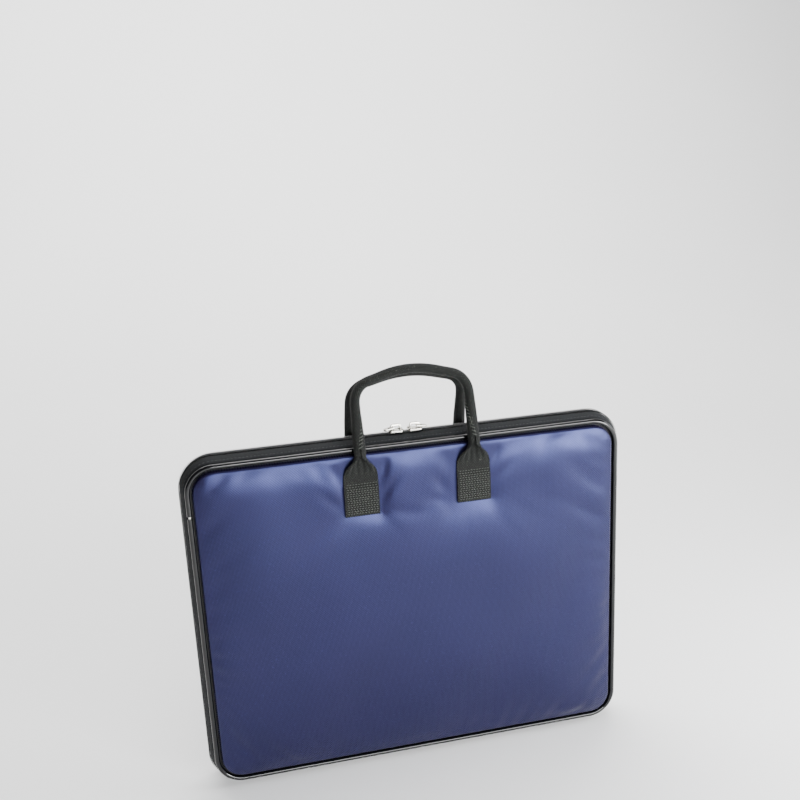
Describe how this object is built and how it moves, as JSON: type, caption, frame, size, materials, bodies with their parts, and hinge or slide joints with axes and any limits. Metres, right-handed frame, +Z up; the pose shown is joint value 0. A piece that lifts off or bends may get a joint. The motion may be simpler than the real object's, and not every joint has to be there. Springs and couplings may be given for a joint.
{
  "type": "portfolio case",
  "caption": "Slim soft zip-around document case with padded woven panels, piped edges, a three-sided zip and webbing carry handles.",
  "frame": {"origin": "middle of the flat underside of the bottom gusset, which the case stands on", "axes": "+X to the right seen from the front, -Y out of the front panel, +Z up"},
  "size_m": [0.394, 0.057, 0.3745],
  "materials": {
    "navy_nylon": "woven, slight sheen",
    "foam": "matte",
    "board": "matte",
    "lining": "woven, matte",
    "vinyl": "gloss",
    "cord": "matte",
    "zip_tape": "woven, matte",
    "zip_coil": "satin",
    "binding": "woven, matte",
    "webbing": "ribbed, matte",
    "nickel": "polished"
  },
  "bodies": {
    "back_half": {"back_fabric_panel": "navy_nylon", "back_foam_sheet": "foam", "back_stiffener_board": "board", "back_lining": "lining", "back_piping_cover": "vinyl", "back_piping_core": "cord", "back_zip_tape": "zip_tape", "back_zip_coil": "zip_coil", "back_seam_binding": "binding", "back_left_handle_tab": "webbing", "back_right_handle_tab": "webbing", "bottom_gusset": "binding"},
    "front_cover": {"front_fabric_panel": "navy_nylon", "front_foam_sheet": "foam", "front_stiffener_board": "board", "front_lining": "lining", "front_piping_cover": "vinyl", "front_piping_core": "cord", "front_zip_tape": "zip_tape", "front_zip_coil": "zip_coil", "front_seam_binding": "binding", "front_left_handle_tab": "webbing", "front_right_handle_tab": "webbing"},
    "front_handle": {"front_handle_webbing": "webbing", "front_handle_core": "cord"},
    "back_handle": {"back_handle_webbing": "webbing", "back_handle_core": "cord"},
    "left_slider": {"left_slider_body": "nickel"},
    "right_slider": {"right_slider_body": "nickel"},
    "left_pull": {"left_pull_tab": "nickel"},
    "right_pull": {"right_pull_tab": "nickel"}
  },
  "joints": [
    {"name": "cover_open", "type": "hinge", "parent": "back_half", "child": "front_cover", "pos_m": [0, -0.015, 0.006], "axis": [1, 0, 0], "range_deg": [0, 180]},
    {"name": "front_handle_fall", "type": "hinge", "parent": "front_cover", "child": "front_handle", "pos_m": [0, -0.0201, 0.2873], "axis": [1, 0, 0], "range_deg": [0, 140]},
    {"name": "back_handle_fall", "type": "hinge", "parent": "back_half", "child": "back_handle", "pos_m": [0, 0.0201, 0.2873], "axis": [-1, 0, 0], "range_deg": [0, 140]},
    {"name": "left_slider_run", "type": "slide", "parent": "back_half", "child": "left_slider", "axis": [-1, 0, 0], "range_m": [0, 0.15]},
    {"name": "right_slider_run", "type": "slide", "parent": "back_half", "child": "right_slider", "axis": [1, 0, 0], "range_m": [0, 0.15]},
    {"name": "left_pull_flip", "type": "hinge", "parent": "left_slider", "child": "left_pull", "pos_m": [-0.0105, 0, 0.3166], "axis": [0, 1, 0], "range_deg": [0, 110]},
    {"name": "right_pull_flip", "type": "hinge", "parent": "right_slider", "child": "right_pull", "pos_m": [0.0105, 0, 0.3166], "axis": [0, -1, 0], "range_deg": [0, 110]}
  ]
}
